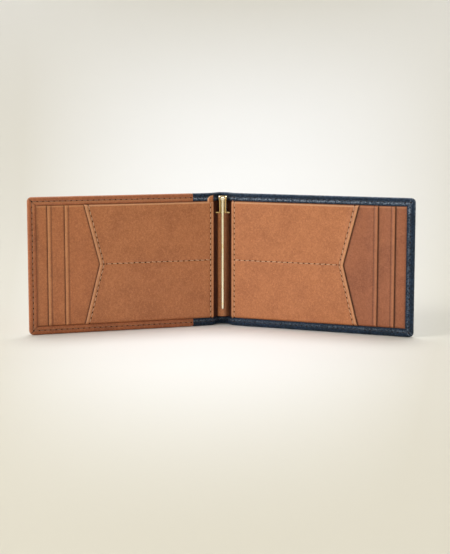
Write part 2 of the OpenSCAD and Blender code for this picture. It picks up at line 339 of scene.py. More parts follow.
class Wire:
    """An output of a node in a finish. Sums and products of wires and numbers add Math nodes."""

    def __init__(self, finish, socket):
        self.finish = finish
        self.socket = socket

    def __add__(self, other):
        return self.finish.math("ADD", self, other)

    __radd__ = __add__

    def __sub__(self, other):
        return self.finish.math("SUBTRACT", self, other)

    def __rsub__(self, other):
        return self.finish.math("SUBTRACT", other, self)

    def __mul__(self, other):
        return self.finish.math("MULTIPLY", self, other)

    __rmul__ = __mul__

    def __truediv__(self, other):
        return self.finish.math("DIVIDE", self, other)

    def __pow__(self, other):
        return self.finish.math("POWER", self, other)


class Finish:
    """One material: its Principled shader with the constants of its sockets, and the nodes that feed it."""

    def __init__(self, name, constants):
        self.material = bpy.data.materials.new(name)
        self.material.use_nodes = True
        self.tree = self.material.node_tree
        self.shader = self.tree.nodes["Principled BSDF"]
        for socket, value in constants.items():
            self.shader.inputs[socket].default_value = value

    def node(self, kind, settings=None, sockets=None, output=0):
        """A node of one kind: its settings first, then the values or wires of its sockets."""
        made = self.tree.nodes.new(kind)
        for setting, value in (settings or {}).items():
            setattr(made, setting, value)
        for socket, value in (sockets or {}).items():
            if isinstance(value, Wire):
                self.tree.links.new(value.socket, made.inputs[socket])
            else:
                made.inputs[socket].default_value = value
        return Wire(self, made.outputs[output])

    def math(self, operation, first, second=0.0):
        """One Math node."""
        return self.node("ShaderNodeMath", {"operation": operation}, {0: first, 1: second})

    def along(self, spot, way):
        """How far a place lies in a direction."""
        return self.node("ShaderNodeVectorMath", {"operation": "DOT_PRODUCT"}, {0: spot, 1: way}, "Value")

    def feed(self, socket, wire):
        self.tree.links.new(wire.socket, self.shader.inputs[socket])

    def place(self, stretch=(1, 1, 1)):
        """Where a point of the surface is, in metres."""
        spot = self.node("ShaderNodeTexCoord", output="Object")
        if stretch == (1, 1, 1):
            return spot
        return self.node("ShaderNodeVectorMath", {"operation": "MULTIPLY"}, {0: spot, 1: stretch})

    def clouds(self, spot, size, detail=3.0, roughness=0.55):
        """Soft unevenness from 0 to 1, with features of about this size."""
        return self.node("ShaderNodeTexNoise", None,
                         {"Vector": spot, "Scale": 1 / size, "Detail": detail, "Roughness": roughness})

    def cells(self, spot, size, feature="F1"):
        """Distance within cells of about this size."""
        return self.node("ShaderNodeTexVoronoi", {"feature": feature}, {"Vector": spot, "Scale": 1 / size})

    def mark(self, name):
        """A value stored on the mesh's points."""
        return self.node("ShaderNodeAttribute", {"attribute_name": name}, output="Fac")

    def step(self, value, low, high):
        """0 where the value is under low, 1 where it is over high."""
        return self.node("ShaderNodeMapRange", {"interpolation_type": "SMOOTHSTEP"},
                         {"Value": value, "From Min": low, "From Max": high})

    def mix(self, first, second, factor):
        """Two colours mixed by a factor."""
        return self.node("ShaderNodeMix", {"data_type": "RGBA"}, {0: factor, 6: first, 7: second}, output=2)

    def tinted(self, tone, layers):
        """A tone under layers of a tint, a value, where it sets in, where it is full, and a weight."""
        for tint, value, low, high, weight in layers:
            tone = self.mix(tone, tint, self.step(value, low, high) * weight)
        return tone

    def bumps(self, height, depth):
        """A rough surface whose relief is depth metres where height goes from 0 to 1."""
        normal = self.node("ShaderNodeBump", None, {"Strength": 1.0, "Distance": depth, "Height": height})
        self.feed("Normal", normal)


def colour(red, green, blue):
    """An opaque colour from its sRGB parts, 0 to 255."""
    def linear(part):
        part /= 255
        return part / 12.92 if part <= 0.04045 else ((part + 0.055) / 1.055) ** 2.4
    return (linear(red), linear(green), linear(blue), 1.0)


def smooth_leather(name, *tones, roughness=0.5):
    """Brown leather with soft clouds, fine pores, edges made paler by wear and painted highlight, and painted
    shade in creases, gaps and hidden sides.

    tones are its deep, middle and pale colours, then the colour of wear and painted highlight, then the
    colour of painted shade."""
    deep, middle, pale, wear_and_highlight, dark = [colour(*tone) for tone in tones]
    leather = Finish(name, {"Coat Weight": 0.08, "Coat Roughness": 0.35})
    spot = leather.place()
    clouds = leather.clouds(spot, 14 * MM, 4)
    patches = leather.clouds(spot, 4 * MM, 3)
    mottle = leather.clouds(leather.place((1, 1, 0.8)), 1.1 * MM, 3, 0.6)
    pores = leather.clouds(spot, 0.5 * MM, 3, 0.7)
    grain = leather.cells(spot, 0.55 * MM)
    tone = leather.tinted(middle, [(deep, 1 - clouds, 0.42, 0.66, 0.45), (pale, patches, 0.45, 0.75, 0.3),
                                   (pale, mottle, 0.48, 0.7, 0.5), (deep, 1 - mottle, 0.5, 0.7, 0.35),
                                   (pale, pores, 0.5, 0.72, 0.7), (deep, 1 - pores, 0.5, 0.7, 0.6)])
    # Wear and painted highlight lighten the tone; painted shade darkens it.
    tone = leather.mix(tone, wear_and_highlight, leather.mark("wear_and_highlight") * 0.6)
    tone = leather.mix(tone, dark, leather.mark("painted_shade") * 0.9)
    leather.feed("Base Color", tone)
    leather.feed("Roughness", roughness - 0.08 + pores * 0.16)
    leather.bumps(grain * 0.55 + pores * 0.45, 0.05 * MM)
    return leather.material


def pebbled_leather(name):
    """Navy leather with round pebbles, a soft sheen, painted shade in the seams between pebbles, and paler
    edges lightened by wear and a speckled painted highlight.
    """
    navy = Finish(name, {"Specular IOR Level": 0.42, "Specular Tint": (0.5, 0.72, 1.0, 1)})
    spot = navy.place()
    pebble = 1.1 * MM
    pebbles = navy.cells(spot, pebble)
    seams = navy.cells(spot, pebble, "DISTANCE_TO_EDGE")
    clouds = navy.clouds(spot, 9 * MM, 4)
    pores = navy.clouds(spot, 0.35 * MM, 2)
    crown = navy.step(seams, 0.02, 0.3)
    tone = navy.mix(colour(17, 29, 48), colour(31, 48, 76), navy.step(clouds, 0.3, 0.7))
    # Painted shade darkens the seams between the pebbles; the sparse blue-grey speckle after it is partly
    # painted highlight on the pebbles' crowns.
    tone = navy.mix(colour(7, 10, 16), tone, crown * 0.75 + 0.25)
    tone = navy.mix(tone, colour(64, 84, 108), navy.step(pores * 0.6 + crown * 0.4, 0.6, 0.8) * 0.4)
    # A speckled painted highlight, with wear, pales the edges; painted shade darkens where the mesh asks for
    # it.
    sheen_speckle = navy.step(navy.clouds(spot, 0.9 * MM, 3, 0.65), 0.44, 0.6)
    tone = navy.mix(tone, colour(158, 174, 196), navy.mark("wear_and_highlight") * (sheen_speckle * 1.2 + 0.15))
    tone = navy.mix(tone, colour(8, 11, 17), navy.mark("painted_shade") * 0.7)
    navy.feed("Base Color", tone)
    navy.feed("Roughness", 0.5 - crown * 0.14)
    navy.bumps(crown * 0.8 - pebbles * 0.3, 0.22 * MM)
    return navy.material


def thread_finish(name, pale, dark):
    """Waxed thread of two twisted plies."""
    thread = Finish(name, {"Roughness": 0.6})
    spot = thread.place((1, 1, 0.6))
    fibres = thread.clouds(spot, 0.18 * MM, 2)
    thread.feed("Base Color", thread.mix(dark, pale, thread.step(fibres, 0.35, 0.62)))
    thread.bumps(fibres, 0.04 * MM)
    return thread.material


def metal(name, bright, dimmed, patina_and_shade, roughness):
    """Polished metal with fine lengthwise brush marks, a few duller clouds, and a patina colour used as
    painted shade in its recesses and on its rounded sides.
    """
    shiny = Finish(name, {"Metallic": 1.0})
    lines = shiny.clouds(shiny.place((1, 1, 0.02)), 0.05 * MM, 2)
    clouds = shiny.clouds(shiny.place(), 3 * MM, 3)
    tone = shiny.mix(bright, dimmed, shiny.step(clouds, 0.45, 0.75))
    # The patina colour goes where the mesh asks for painted shade.
    shiny.feed("Base Color", shiny.mix(tone, patina_and_shade, shiny.mark("painted_shade")))
    shiny.feed("Roughness", roughness + lines * 0.1 + clouds * 0.06)
    shiny.bumps(lines, 0.002 * MM)
    return shiny.material


def board_finish():
    """Grey-brown board with pressed fibres."""
    board = Finish("stiffener_board", {"Roughness": 0.9})
    fibres = board.clouds(board.place((1, 1, 4)), 1.2 * MM, 5)
    board.feed("Base Color", board.mix(colour(150, 138, 118), colour(188, 176, 152), fibres))
    board.bumps(fibres, 0.05 * MM)
    return board.material


def hole_shade_finish():
    """Painted shade: the dark colour of the discs that stand for the shadow inside needle holes."""
    hole = Finish("needle_hole_shade", {"Roughness": 0.9})
    fuzz = hole.clouds(hole.place(), 0.3 * MM, 2)
    hole.feed("Base Color", hole.mix(colour(20, 12, 8), colour(46, 26, 16), fuzz))
    return hole.material


# The next colour is the painted shade of the slot, pocket and sleeve leather. Each leather's last two tones
# colour its wear and painted highlight, then its painted shade.
SHADE_BROWN = (62, 27, 13)
COVER_TAN = smooth_leather("cover_tan", (126, 65, 34), (164, 91, 50), (192, 117, 70),
                           (214, 150, 102), (64, 29, 14))
SLOT_TAN = smooth_leather("slot_tan", (152, 86, 48), (184, 111, 65), (204, 132, 82),
                          (228, 168, 118), SHADE_BROWN)
# A darker copy of slot_tan, which the right panel's lining and card slots use.
DEEP_SLOT_TAN = smooth_leather("deep_slot_tan", (126, 67, 39), (156, 90, 55), (177, 108, 70),
                               (206, 140, 98), (54, 23, 11))
POCKET_TAN = smooth_leather("pocket_tan", (151, 85, 46), (182, 112, 66), (205, 134, 85),
                            (238, 186, 142), SHADE_BROWN)
SLEEVE_TAN = smooth_leather("sleeve_tan", (176, 102, 58), (212, 136, 86), (230, 160, 108),
                            (238, 186, 142), SHADE_BROWN)
SPINE_BROWN = smooth_leather("spine_brown", (58, 28, 16), (84, 42, 24), (104, 54, 32),
                             (120, 70, 44), (30, 14, 8), roughness=0.6)
NAVY = pebbled_leather("navy_pebbled")
TAN_THREAD = thread_finish("tan_thread", colour(228, 194, 160), colour(180, 140, 104))
BORDER_THREAD = thread_finish("border_thread", colour(170, 130, 104), colour(104, 80, 66))
BLUE_THREAD = thread_finish("blue_thread", colour(54, 70, 92), colour(22, 32, 48))
BRASS = metal("polished_brass", colour(255, 246, 216), colour(248, 226, 172), colour(178, 138, 66),
              roughness=0.16)
STEEL = metal("bright_steel", colour(206, 206, 208), colour(160, 160, 164), colour(90, 90, 94),
              roughness=0.25)
BOARD = board_finish()
HOLE_SHADE = hole_shade_finish()


# ---------------- covers with a turned border

BACK_INSET = 3.6 * MM
SIDE_WEAR_AND_HIGHLIGHT = 0.4              # how much wear and painted highlight the bottom and the fore edge get, as a part of the top's
LINING_INSET = 3.0 * MM
HEM_THIN = 0.5 * MM
HEM_FALL = 0.28 * MM        # how far the border's surface falls towards its hem
HEM_FALL_W = 1.4 * MM
STITCH_PULL = 0.28 * MM
STITCH_PULL_W = 0.9 * MM
STITCH_SHADE_W = 0.5 * MM
MITRE_PULL = 0.16 * MM
BORDER_STARTS = 30 * MM     # the bottom and top borders lie further than this from the middle height


def stitch_dip(inset):
    """How deep the row of stitches pulls the leather in, at this distance from the outer edge."""
    return STITCH_PULL * groove(inset - STITCH_INSET, STITCH_PULL_W)


def stitch_shade(inset):
    """How much painted shade darkens the leather in the groove of the row of stitches."""
    return 0.35 * groove(inset - STITCH_INSET, STITCH_SHADE_W)


def edge_section():
    """The turned edge cut across: (inset, d, wear and painted highlight, painted shade), from the cover's
    inside round to its back.
    """
    round_d = (BORDER_TOP - COVER_OUT) / 2
    round_inset = 1.5 * MM
    middle = (BORDER_TOP + COVER_OUT) / 2
    rim_in = RIM_W + 0.4 * MM
    hem_in = TURN_W - 0.3 * MM
    # The cover's hidden inside and the hem's cut edge are darkened with painted shade.
    section = [(LINING_INSET, COVER_IN, 0, 1), (rim_in, COVER_IN, 0, 1),
               (RIM_W + 0.1 * MM, (COVER_IN + LINING_TOP) / 2, 0, 1), (rim_in, LINING_TOP, 0, 1),
               (hem_in, LINING_TOP, 0, 1), (TURN_W, LINING_TOP + 0.1 * MM, 0, 1),
               (TURN_W + 0.05 * MM, LINING_TOP + HEM_THIN / 2, 0, 0.9),
               (TURN_W - 0.05 * MM, LINING_TOP + HEM_THIN * 0.8, 0.2, 0.4)]
    for inset in reversed(spread(round_inset + 0.15 * MM, hem_in, 0.25 * MM)):
        fall = HEM_FALL * smooth(1 - (TURN_W - inset) / HEM_FALL_W)
        d = BORDER_TOP - fall - stitch_dip(inset)
        # A broad band of painted highlight lies on the border just inside its row of stitches.
        sheen_band = 0.55 * groove(inset - STITCH_INSET - 0.6 * MM, 1.3 * MM)
        section.append((inset, d, sheen_band, stitch_shade(inset)))
    turn = 14
    for i in range(turn + 1):
        angle = math.pi * (i / turn - 0.5)
        bulge = math.cos(angle) ** 0.8
        # The rounded outer edge is lightened most on its crown, by wear and a painted highlight.
        wear_and_highlight = 0.55 * math.cos(angle) ** 3 if i < turn else 0
        section.append((round_inset * (1 - bulge), middle - round_d * math.sin(angle), wear_and_highlight, 0))
    for inset in (1.8 * MM, 2.1 * MM, 2.3 * MM, STITCH_INSET, 2.75 * MM, 3.1 * MM):
        section.append((inset, COVER_OUT + stitch_dip(inset), 0, stitch_shade(inset)))
    section.append((BACK_INSET, COVER_OUT, 0, 0))
    return section


def cover_shape(place, near, far, turned_end, columns, pressed=None):
    """A cover from near to far along the leather, turned over at bottom and top and, if turned_end, at far.

    columns are the steps along the leather. pressed gives how far the leather is pressed in at a length."""
    shape = Shape()
    section = edge_section()
    rows = graded(BACK_INSET, WALLET_H - BACK_INSET)
    arc = 6
    centre = (BORDER_TOP + COVER_OUT) / 2

    def mitre_fold(q, d, z):
        """How deep the fold of a mitred corner is here, from 0 to 1, and how much wear lightens its lips."""
        from_end, from_side = far - q, min(z, WALLET_H - z)
        if not turned_end or d < centre or max(from_end, from_side) > TURN_W:
            return 0.0, 0.0
        off = abs(from_end - from_side)
        return groove(off, 0.8 * MM), 0.3 * groove(off - 1.0 * MM, 0.7 * MM)

    def put(q, d, z, wear_and_highlight, painted_shade):
        fold, lips = mitre_fold(q, d, z)
        # Painted shade darkens the mitre's fold. The top border takes its full wear and painted highlight,
        # the bottom and the fore edge a share of it.
        painted_shade = max(painted_shade, 0.6 * fold)
        wear_and_highlight = max(wear_and_highlight * (1.0 if z > MID_Z + BORDER_STARTS else SIDE_WEAR_AND_HIGHLIGHT), lips)
        d -= MITRE_PULL * fold
        press = pressed(q) if pressed else 0.0
        d -= press * clamp((d - centre) / (0.6 * MM))
        z -= press * clamp((z - MID_Z) / BORDER_STARTS)
        return (place(q, d, z), wear_and_highlight, painted_shade)

    def along(inset):
        """The columns, drawn together so that the last one ends at this inset's corner."""
        end = max(inset, CORNER_R) if turned_end else 0.0
        reach = far - (BACK_INSET if turned_end else 0.0) - near
        return [near + (column - near) * (far - end - near) / reach for column in columns]

    def up(inset):
        """The rows, stretched to end at this inset from the bottom and the top."""
        scale = (WALLET_H - 2 * inset) / (WALLET_H - 2 * BACK_INSET)
        return [MID_Z + (z - MID_Z) * scale for z in rows]

    def loop(inset):
        """The way round the cover at this inset, from near along the bottom, the fore edge and the top."""
        low = [(q, inset) for q in along(inset)]
        if not turned_end:
            return low
        mitre = max(inset, CORNER_R)
        radius = max(CORNER_R - inset, 0.0)
        turns = [math.radians(-90 + 90 * k / arc) for k in range(1, arc)]
        bend = [(far - mitre + radius * math.cos(turn), mitre + radius * math.sin(turn)) for turn in turns]
        fore = [(far - inset, z) for z in up(mitre)]
        high = [(q, WALLET_H - z) for q, z in reversed(low + bend)]
        return low + bend + fore + high

    if turned_end:
        shape.patch([[put(q, d, z, wear_and_highlight, dark) for q, z in loop(inset)]
                     for inset, d, wear_and_highlight, dark in section])
    else:
        for flip in (False, True):
            shape.patch([[put(q, d, WALLET_H - z if flip else z, wear_and_highlight, dark) for q, z in loop(inset)]
                         for inset, d, wear_and_highlight, dark in section])
    # The cover's inside face is darkened with painted shade.
    faces = ((LINING_INSET, COVER_IN, 1), (BACK_INSET, COVER_OUT, 0))
    for inset, d, dark in faces:
        shape.patch([[put(q, d, z, 0, dark) for q in along(inset)] for z in up(inset)])
    for q in [near] if turned_end else [near, far]:
        for flip in (False, True):
            shape.lid([put(q, d, WALLET_H - inset if flip else inset, 0, 0)[0] for inset, d, _, _ in section])
        shape.patch([[put(q, d, z, 0, 0)[0] for z in up(inset)] for inset, d, _ in faces])
    return shape


def tan_cover():
    """Tan leather of the left panel. Its spine side is pressed thin under the navy strip's end."""
    lap = 1.2 * MM
    press_d, press_w = 0.16 * MM, 1.6 * MM
    near = STRIP_END - lap
    columns = graded(near, PANEL_W - BACK_INSET)

    def pressed(s):
        return press_d * smooth(1 - (s - STRIP_END) / press_w)

    shape = cover_shape(LEFT.place, near, PANEL_W, True, columns, pressed)
    piece = shape.finish("tan_cover", [COVER_TAN])
    on_panel(piece, LEFT, "tan_leather", "cover")


def navy_cover():
    """Navy leather in two halves that meet on the spine's middle: the right panel's and the left strip's."""
    bend_end = RIGHT_PATH.length
    round_bend = spread(0, bend_end, 0.45 * MM)
    right_far, left_far = RIGHT_PATH.q_at(PANEL_W), LEFT_PATH.q_at(STRIP_END)
    halves = ((RIGHT_PATH, right_far, True, graded(bend_end, right_far - BACK_INSET), "right_cover"),
              (LEFT_PATH, left_far, False, spread(bend_end, left_far, 0.6 * MM), "left_navy_strip"))
    for path, far, turned_end, columns, node in halves:
        shape = cover_shape(path.place, 0, far, turned_end, round_bend + columns[1:])
        piece = shape.finish("navy_cover_" + path.panel.name, [NAVY])
        round_spine(piece, path, "navy_leather", "spine_cover", node)


# ---------------- leaves: lining, card slots and pocket

RISE = 1.5 * MM
SIDE_STITCH_S = INNER_START + 1.8 * MM
LEAVES = ["lining", "slot_1", "slot_2", "pocket"]
FULL_TOPS = [LINING_TOP, SLOT_1_TOP, SLOT_2_TOP, POCKET_TOP]
EDGES = [LINING_EDGE, SLOT_1_EDGE, SLOT_2_EDGE, POCKET_EDGE]
LIFTS = [0.0, 0.42 * MM, 0.42 * MM, 0.4 * MM]
TUCK_STEP = (LINING_TOP - BOARD_TOP) / len(LEAVES)


class Leaf:
    """One leather leaf of a panel, lying on the leaf below it and tucked under the turned border."""

    TUCK = 2.6 * MM             # how far it reaches under the turned border
    CREASE_D = 0.16 * MM        # depth of the crease beside its outer edge
    EDGE_SWELL = 0.08 * MM      # how far the leather swells between the crease and the edge
    SIDE_PULL = 0.2 * MM        # how deep the stitches beside the spine pull it in
    DIVIDER_PULL = 0.18 * MM    # how deep the stitches across its middle pull it in
    PULL_W = 0.9 * MM

    # places across it, in mm: from its inner edge, in from its outer edge, and past the next leaf's edge
    BY_SPINE = (0.0, 0.25, 0.55, 0.9, 1.3, 1.6, 1.8, 2.0, 2.3, 2.7, 3.4)
    BY_EDGE = (7.0, 5.2, 4.0, 3.2, 2.8, 2.5, 2.2, 1.95, 1.7, 1.4, 1.1, 0.8, 0.5, 0.25, 0.0)
    BY_NEXT = (-1.0, -0.6, -0.3, 0.0, 0.3, 0.6, 0.9, 1.2, 1.6)

    def __init__(self, panel, kind):
        self.panel = panel
        self.kind = kind
        self.level = LEAVES.index(kind)
        self.full_top = FULL_TOPS[self.level]
        self.full_bottom = FULL_TOPS[self.level - 1] if self.level else BOARD_TOP
        self.tucked_bottom = BOARD_TOP + TUCK_STEP * self.level
        self.thick = self.full_top - self.full_bottom
        self.above = Leaf(panel, LEAVES[self.level + 1]) if kind != "pocket" else None

    def edge(self, z):
        """Where the leaf's outer edge lies at a height."""
        if self.kind == "pocket":
            away = math.hypot(z - MID_Z, 0.6 * MM)
            return POCKET_EDGE - POCKET_NOTCH + POCKET_NOTCH * away / (MID_Z - TURN_W)
        return EDGES[self.level]

    def from_edge(self, s, z):
        """Distance from the leaf's outer edge, square to it."""
        square = math.cos(POCKET_SLANT) if self.kind == "pocket" else 1.0
        return (self.edge(z) - s) * square

    def rise(self, s, z):
        """0 where the leaf is tucked under the border and 1 where it lies free."""
        room = min(z - TURN_W, WALLET_H - TURN_W - z)
        if self.kind == "lining":
            room = min(room, PANEL_W - TURN_W - s)
        return math.sin(math.pi / 2 * min(max((room + 0.25 * MM) / RISE, 0.0), 1.0))

    def off_flat(self, s, z):
        """The panel's unevenness, more of it on the upper leaves, and the lift of the leaf's free edge."""
        spot = (s, z * 0.8, self.panel.side * 31 * MM)
        sway = 0.16 * MM * ripple(spot, 23 * MM, 3.7) + 0.05 * MM * ripple(spot, 7 * MM, 9.1)
        lift = LIFTS[self.level] * smooth(1 - self.from_edge(s, z) / (6 * MM))
        return sway * (self.level + 1) / len(LEAVES) + lift

    def bottom(self, s, z):
        free = self.full_bottom + self.off_flat(s, z)
        return self.tucked_bottom + (free - self.tucked_bottom) * self.rise(s, z)

    def top(self, s, z):
        rise = self.rise(s, z)
        free = self.full_top + self.off_flat(s, z)
        tucked = self.tucked_bottom + TUCK_STEP * 0.9
        return tucked + (free - tucked) * rise - self.marks(s, z) * rise

    def marks(self, s, z):
        """Depth of the creases and stitch rows pressed into the leaf's top."""
        if self.kind == "lining":
            return 0.0
        gap = self.from_edge(s, z)
        depth = self.CREASE_D * groove(gap - CREASE_INSET, 0.7 * MM)
        depth -= self.EDGE_SWELL * groove(gap - CREASE_INSET / 2, CREASE_INSET / 2)
        if self.kind == "pocket":
            past_crease = smooth((gap - CREASE_INSET) / (1 * MM))
            depth += self.SIDE_PULL * groove(s - SIDE_STITCH_S, self.PULL_W)
            depth += self.DIVIDER_PULL * groove(z - MID_Z, self.PULL_W) * past_crease
        return min(depth, self.thick * 0.5)

    def tints(self, s, z):
        """How much wear and painted highlight lighten the top, and how much painted shade darkens it."""
        top_gap = WALLET_H - TURN_W - z
        hem_gap = min(top_gap, z - TURN_W)
        if self.kind == "lining":
            hem_gap = min(hem_gap, PANEL_W - TURN_W - s)
        # Painted shadow under the border's hem, and beside the edge of the leaf above.
        painted_shade = 0.9 * smooth(1 - (hem_gap + 0.1 * MM) / (0.6 * MM))
        if self.above:
            painted_shade = max(painted_shade, 0.85 * smooth(1 + self.above.from_edge(s, z) / (0.95 * MM)))
        # A painted highlight along the top, where the leaf rises from under the border.
        wear_and_highlight = groove(top_gap - 0.8 * MM, 0.6 * MM)
        if self.kind == "lining":
            return wear_and_highlight, painted_shade
        gap = self.from_edge(s, z)
        # Wear and a painted highlight lighten the band by the folded edge; painted shade darkens its crease.
        wear_and_highlight = max(wear_and_highlight, 0.6 * groove(gap - 0.75 * MM, 0.9 * MM))
        painted_shade = max(painted_shade, 0.6 * groove(gap - CREASE_INSET, 0.5 * MM))
        # The pocket: a painted highlight by its inner edge, and painted shade along its stitch rows.
        if self.kind == "pocket":
            by_side = groove(s - SIDE_STITCH_S, 0.6 * MM)
            by_divider = groove(z - MID_Z, 0.6 * MM)
            wear_and_highlight = max(wear_and_highlight, 0.35 * groove(s - INNER_START - 0.5 * MM, 1.0 * MM))
            painted_shade = max(painted_shade, 0.3 * by_side, 0.22 * by_divider)
        return wear_and_highlight, painted_shade

    def across(self, z):
        """Places across the leaf at a height, close together near its edges, stitches and the next leaf."""
        edge = self.edge(z)
        stretch = edge / max(self.from_edge(0, z), 1e-9) if self.kind == "pocket" else 1.0
        low = [INNER_START + self.thick / 2 + step * MM for step in self.BY_SPINE]
        high = [edge - self.thick / 2 - gap * MM * stretch for gap in self.BY_EDGE]
        if not self.above:
            return low + self.between(low[-1], high[0], 40) + high
        shadow = [self.above.edge(z) + step * MM for step in self.BY_NEXT]
        inner, outer = self.between(low[-1], shadow[0], 32), self.between(shadow[-1], high[0], 4)
        return low + inner + shadow + outer + high

    @staticmethod
    def between(start, end, count):
        """Even places between two others, without them."""
        return [start + (end - start) * i / count for i in range(1, count)]

    def heights(self):
        """Heights of the rows of points, close together by the border and at the middle."""
        step = 1.2 * MM
        free = TURN_W + RISE
        half = spread(TURN_W - self.TUCK, TURN_W, 0.65 * MM) + spread(TURN_W, free, 0.3 * MM)[1:]
        half += spread(free, MID_Z - step, step)[1:] + spread(MID_Z - step, MID_Z, step / 5)[1:]
        return half + [WALLET_H - z for z in reversed(half[:-1])]

    def build(self, name, material, slot):
        """The leaf as a piece, its inner and outer edges rolled."""
        lip = self.thick * 0.15
        tops, bottoms = [], []
        # Tops lighten the rolled outer edge with wear and painted highlight; bottoms, the leaf's whole
        # underside, carry painted shade. The rolled inner and outer edges get a little of both.
        sheets = ((tops, self.top, -1, 0.9, 0.0), (bottoms, self.bottom, 1, 0.0, 0.8))
        for z in self.heights():
            outer = self.edge(z)
            first, last = INNER_START + self.thick / 2, outer - self.thick / 2
            start, end = [(self.top(s, z) + self.bottom(s, z)) / 2 for s in (first, last)]
            roll = lip * max(self.rise(outer, z), 0.15)
            for rows, surface, inwards, wear_and_highlight, dark in sheets:
                row = [(INNER_START, start, 0.2, 0.3),
                       (INNER_START + lip, surface(first, z) + inwards * roll, 0.3, dark)]
                for s in self.across(z):
                    tints = self.tints(s, z) if rows is tops else (0.0, 1.0)
                    row.append((s, surface(s, z), *tints))
                row.append((outer - lip, surface(last, z) + inwards * roll, wear_and_highlight, dark))
                row.append((outer, end, 0.5, 0.3))
                rows.append([(self.panel.place(s, d, z), *tints) for s, d, *tints in row])
        shape = Shape()
        shape.wrap(tops, bottoms)
        piece = shape.finish(name, [material], sharp=60)
        on_panel(piece, self.panel, slot, self.kind)


# ---------------- stitching

STITCH_L = 2.35 * MM
STITCH_SLANT = 0.3 * MM
THREAD_W = 0.38 * MM
THREAD_H = 0.36 * MM
HOLE_R = 0.44 * MM
HOLE_RINGS = ((1.0, -0.12 * MM), (1.0, 0.02 * MM), (0.7, 0.06 * MM), (0.25, 0.07 * MM))   # size and height


def stitch_row(shape, place, surface, start, end, proud=1):
    """Lockstitches from start to end, both (q, z), with a dark disc of painted shade for the needle hole at
    each end of each stitch.

    surface gives the leather's depth at (q, z), and proud is 1 on the inside face and -1 on the outside."""
    run = Vector((end[0] - start[0], end[1] - start[1]))
    count = max(1, round(run.length / STITCH_PITCH))
    step = run.length / count
    ahead = run / run.length
    aside = Vector((-ahead.y, ahead.x))
    origin = Vector(start)

    def stitch(middle):
        stray = ripple((middle.x, middle.y, 0), STITCH_PITCH * 0.7, 5.3)
        middle = middle + aside * (stray * 0.16 * MM)
        lean = STITCH_SLANT + 0.6 * MM * stray
        rings = []
        for t in spread(-0.5, 0.5, 1 / 8):
            arch = math.cos(math.pi * t)
            centre = middle + ahead * t * STITCH_L * (1 + 0.12 * stray) + aside * (lean * t)
            depth = surface(centre.x, centre.y) + proud * THREAD_H * (0.62 * arch ** 0.7 - 0.45)
            girth = 0.7 + 0.3 * arch
            ring = []
            for out, up in circle(8):
                spot = centre + aside * (out * THREAD_W * girth / 2)
                ring.append(place(spot.x, depth + proud * up * THREAD_H * girth / 2, spot.y))
            rings.append(ring)
        shape.tube(rings, 0)

    # A dark disc, a little proud of the leather, painted as the shadow inside a needle hole.
    def needle_hole_shade(centre):
        base = surface(centre.x, centre.y)
        rings = []
        for size, rise in HOLE_RINGS:
            ring = []
            for forward, out in circle(10):
                spot = centre + ahead * (forward * HOLE_R * size * 1.1)
                spot = spot + aside * (out * HOLE_R * size * 0.85)
                ring.append(place(spot.x, base + proud * rise, spot.y))
            rings.append(ring)
        shape.tube(rings, 1)

    for i in range(count):
        stitch(origin + ahead * (i + 0.5) * step)
    for i in range(count + 1):
        needle_hole_shade(origin + ahead * (i * step))


def border_depth(q, z):
    """The turned border's surface on its row of stitches."""
    return BORDER_TOP - stitch_dip(STITCH_INSET)


def back_depth(q, z):
    """The cover's back on its row of stitches."""
    return COVER_OUT + stitch_dip(STITCH_INSET)


def plain_back(q, z):
    return COVER_OUT


def border_rows(shape, place, near, far, fore):
    """The border's stitches inside and outside, from near to far and, if fore, up the fore edge."""
    high = WALLET_H - STITCH_INSET
    for surface, proud in ((border_depth, 1), (back_depth, -1)):
        stitch_row(shape, place, surface, (near, STITCH_INSET), (far, STITCH_INSET), proud)
        stitch_row(shape, place, surface, (near, high), (far, high), proud)
        if fore:
            stitch_row(shape, place, surface, (far, STITCH_INSET), (far, high), proud)


def cover_stitches():
    """The border's stitches on the tan cover and on both navy halves, and the seam at the strip's end."""
    tan, right, left = Shape(), Shape(), Shape()
    seam = LEFT_PATH.q_at(STRIP_END - 1.3 * MM)
    border_rows(tan, LEFT.place, STRIP_END + 1.2 * MM, PANEL_W - STITCH_INSET, True)
    border_rows(right, RIGHT_PATH.place, STITCH_PITCH / 2, RIGHT_PATH.q_at(PANEL_W - STITCH_INSET), True)
    border_rows(left, LEFT_PATH.place, STITCH_PITCH / 2, seam, False)
    stitch_row(left, LEFT_PATH.place, plain_back, (seam, STITCH_INSET), (seam, WALLET_H - STITCH_INSET), -1)
    piece = tan.finish("tan_border_stitches", [BORDER_THREAD, HOLE_SHADE])
    on_panel(piece, LEFT, "tan_thread", "border_thread")
    halves = ((right, RIGHT_PATH, "right_border_thread"), (left, LEFT_PATH, "left_strip_thread"))
    for shape, path, node in halves:
        piece = shape.finish("navy_border_stitches_" + path.panel.name, [BLUE_THREAD, HOLE_SHADE])
        round_spine(piece, path, "blue_thread", node, "spine_thread")


def pocket_stitches(panel, pocket):
    """The stitches beside the pocket's edge, across its middle and beside the spine."""
    low, high = TURN_W + 0.6 * MM, WALLET_H - TURN_W - 0.6 * MM
    beside_low, tip, beside_high = [(pocket.edge(z) - CREASE_INSET / math.cos(POCKET_SLANT), z)
                                    for z in (low, MID_Z, high)]
    side_low, side_mid, side_high = [(SIDE_STITCH_S, z) for z in (low, MID_Z, high)]

    def row(name, node, *ends):
        shape = Shape()
        for start, end in ends:
            stitch_row(shape, panel.place, pocket.top, start, end)
        piece = shape.finish(panel.name + name, [TAN_THREAD, HOLE_SHADE])
        on_panel(piece, panel, "tan_thread", node)

    row("_pocket_stitches", "pocket_thread", (beside_low, tip), (tip, beside_high))
    row("_divider_stitches", "divider_thread", (side_mid, (tip[0] - STITCH_PITCH / 2, MID_Z)))
    row("_side_stitches", "side_thread", (side_low, side_mid), (side_mid, side_high))


